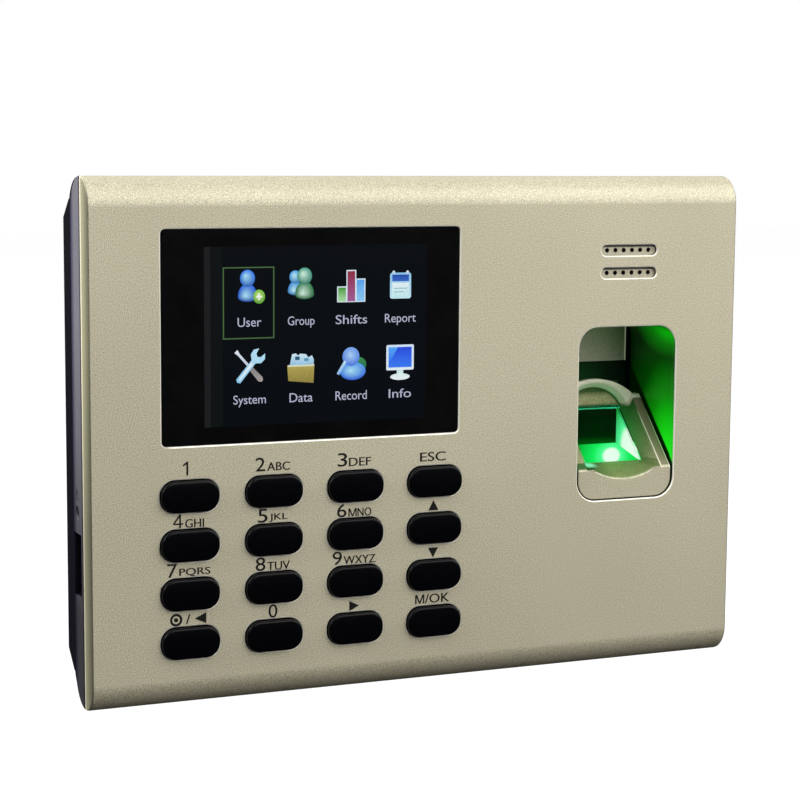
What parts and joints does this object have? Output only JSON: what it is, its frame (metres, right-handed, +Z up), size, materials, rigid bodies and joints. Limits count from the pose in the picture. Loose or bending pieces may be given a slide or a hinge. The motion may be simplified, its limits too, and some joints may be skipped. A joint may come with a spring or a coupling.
{
  "type": "fingerprint terminal",
  "caption": "Wall-mounted fingerprint terminal with a colour display, a keypad, a speaker and a lit optical finger sensor in a sloping well, hung on a steel wall plate.",
  "frame": {"origin": "on the wall plane, at the middle of the terminal's width and height", "axes": "+X to the right seen from the front, +Y into the wall, +Z up"},
  "size_m": [0.18, 0.0324, 0.132],
  "materials": {
    "champagne": "fine metallic satin lacquer",
    "dark_case": "fine-textured moulded plastic",
    "key_black": "polished",
    "display_glass": "polished window",
    "screen": "lit colour display",
    "black_tape": "foam tape",
    "black_rubber": "silicone rubber",
    "zinc_plate": "zinc-plated sheet",
    "screw_steel": "zinc-plated",
    "tin_frame": "tinned sheet",
    "can_aluminium": "satin",
    "white_plastic": "moulded",
    "ivory_plastic": "moulded",
    "ribbon_film": "polyimide film",
    "circuit_board": "solder mask",
    "chip_black": "moulded epoxy",
    "header_green": "moulded",
    "battery_wrap": "film wrap",
    "lead_red": "insulation",
    "speaker_film": "paper film",
    "sensor_glass": "polished optical glass lit green",
    "green_light": "lit green"
  },
  "bodies": {
    "case": {"front_cover": "champagne", "finger_well": "champagne", "sensor_bezel": "champagne", "rear_cover": "dark_case", "wall_plate": "zinc_plate", "plate_screw": "screw_steel", "case_screws": "screw_steel", "board_screws": "screw_steel", "well_screws": "screw_steel", "display_lens": "display_glass", "lens_tape": "black_tape", "lcd_frame": "tin_frame", "lcd_panel": "screen", "lcd_backlight": "white_plastic", "lcd_ribbon": "ribbon_film", "ribbon_socket": "white_plastic", "keypad_mat": "black_rubber", "main_board": "circuit_board", "board_chips": "chip_black", "board_capacitors": "can_aluminium", "usb_socket": "tin_frame", "usb_tongue": "white_plastic", "reset_switch": "chip_black", "network_jack": "tin_frame", "power_jack": "chip_black", "power_pin": "tin_frame", "wiring_header": "header_green", "clock_cell": "tin_frame", "battery_pack": "battery_wrap", "battery_lead": "lead_red", "sensor_platen": "sensor_glass", "sensor_prism": "sensor_glass", "sensor_housing": "chip_black", "sensor_leds": "green_light", "sensor_lens": "chip_black", "sensor_board": "circuit_board", "sensor_ribbon": "white_plastic", "speaker_frame": "chip_black", "speaker_cone": "speaker_film", "speaker_gasket": "black_tape", "speaker_lead": "lead_red"},
    "key_1_cap": {"key_1": "key_black"},
    "key_2_cap": {"key_2": "key_black"},
    "key_3_cap": {"key_3": "key_black"},
    "key_esc_cap": {"key_esc": "key_black"},
    "key_4_cap": {"key_4": "key_black"},
    "key_5_cap": {"key_5": "key_black"},
    "key_6_cap": {"key_6": "key_black"},
    "key_up_cap": {"key_up": "key_black"},
    "key_7_cap": {"key_7": "key_black"},
    "key_8_cap": {"key_8": "key_black"},
    "key_9_cap": {"key_9": "key_black"},
    "key_down_cap": {"key_down": "key_black"},
    "key_left_cap": {"key_left": "key_black"},
    "key_0_cap": {"key_0": "key_black"},
    "key_right_cap": {"key_right": "key_black"},
    "key_ok_cap": {"key_ok": "key_black"},
    "reset_plunger": {"reset_button": "ivory_plastic"}
  },
  "joints": [
    {"name": "key_1_press", "type": "slide", "parent": "case", "child": "key_1_cap", "axis": [0, 1, 0], "range_m": [0, 0.001], "stiffness_N_per_m": 600, "springref_m": -0.0005},
    {"name": "key_2_press", "type": "slide", "parent": "case", "child": "key_2_cap", "axis": [0, 1, 0], "range_m": [0, 0.001], "stiffness_N_per_m": 600, "springref_m": -0.0005},
    {"name": "key_3_press", "type": "slide", "parent": "case", "child": "key_3_cap", "axis": [0, 1, 0], "range_m": [0, 0.001], "stiffness_N_per_m": 600, "springref_m": -0.0005},
    {"name": "key_esc_press", "type": "slide", "parent": "case", "child": "key_esc_cap", "axis": [0, 1, 0], "range_m": [0, 0.001], "stiffness_N_per_m": 600, "springref_m": -0.0005},
    {"name": "key_4_press", "type": "slide", "parent": "case", "child": "key_4_cap", "axis": [0, 1, 0], "range_m": [0, 0.001], "stiffness_N_per_m": 600, "springref_m": -0.0005},
    {"name": "key_5_press", "type": "slide", "parent": "case", "child": "key_5_cap", "axis": [0, 1, 0], "range_m": [0, 0.001], "stiffness_N_per_m": 600, "springref_m": -0.0005},
    {"name": "key_6_press", "type": "slide", "parent": "case", "child": "key_6_cap", "axis": [0, 1, 0], "range_m": [0, 0.001], "stiffness_N_per_m": 600, "springref_m": -0.0005},
    {"name": "key_up_press", "type": "slide", "parent": "case", "child": "key_up_cap", "axis": [0, 1, 0], "range_m": [0, 0.001], "stiffness_N_per_m": 600, "springref_m": -0.0005},
    {"name": "key_7_press", "type": "slide", "parent": "case", "child": "key_7_cap", "axis": [0, 1, 0], "range_m": [0, 0.001], "stiffness_N_per_m": 600, "springref_m": -0.0005},
    {"name": "key_8_press", "type": "slide", "parent": "case", "child": "key_8_cap", "axis": [0, 1, 0], "range_m": [0, 0.001], "stiffness_N_per_m": 600, "springref_m": -0.0005},
    {"name": "key_9_press", "type": "slide", "parent": "case", "child": "key_9_cap", "axis": [0, 1, 0], "range_m": [0, 0.001], "stiffness_N_per_m": 600, "springref_m": -0.0005},
    {"name": "key_down_press", "type": "slide", "parent": "case", "child": "key_down_cap", "axis": [0, 1, 0], "range_m": [0, 0.001], "stiffness_N_per_m": 600, "springref_m": -0.0005},
    {"name": "key_left_press", "type": "slide", "parent": "case", "child": "key_left_cap", "axis": [0, 1, 0], "range_m": [0, 0.001], "stiffness_N_per_m": 600, "springref_m": -0.0005},
    {"name": "key_0_press", "type": "slide", "parent": "case", "child": "key_0_cap", "axis": [0, 1, 0], "range_m": [0, 0.001], "stiffness_N_per_m": 600, "springref_m": -0.0005},
    {"name": "key_right_press", "type": "slide", "parent": "case", "child": "key_right_cap", "axis": [0, 1, 0], "range_m": [0, 0.001], "stiffness_N_per_m": 600, "springref_m": -0.0005},
    {"name": "key_ok_press", "type": "slide", "parent": "case", "child": "key_ok_cap", "axis": [0, 1, 0], "range_m": [0, 0.001], "stiffness_N_per_m": 600, "springref_m": -0.0005},
    {"name": "reset_press", "type": "slide", "parent": "case", "child": "reset_plunger", "axis": [1, 0, 0], "range_m": [0, 0.0005], "stiffness_N_per_m": 1200, "springref_m": -0.0005}
  ]
}
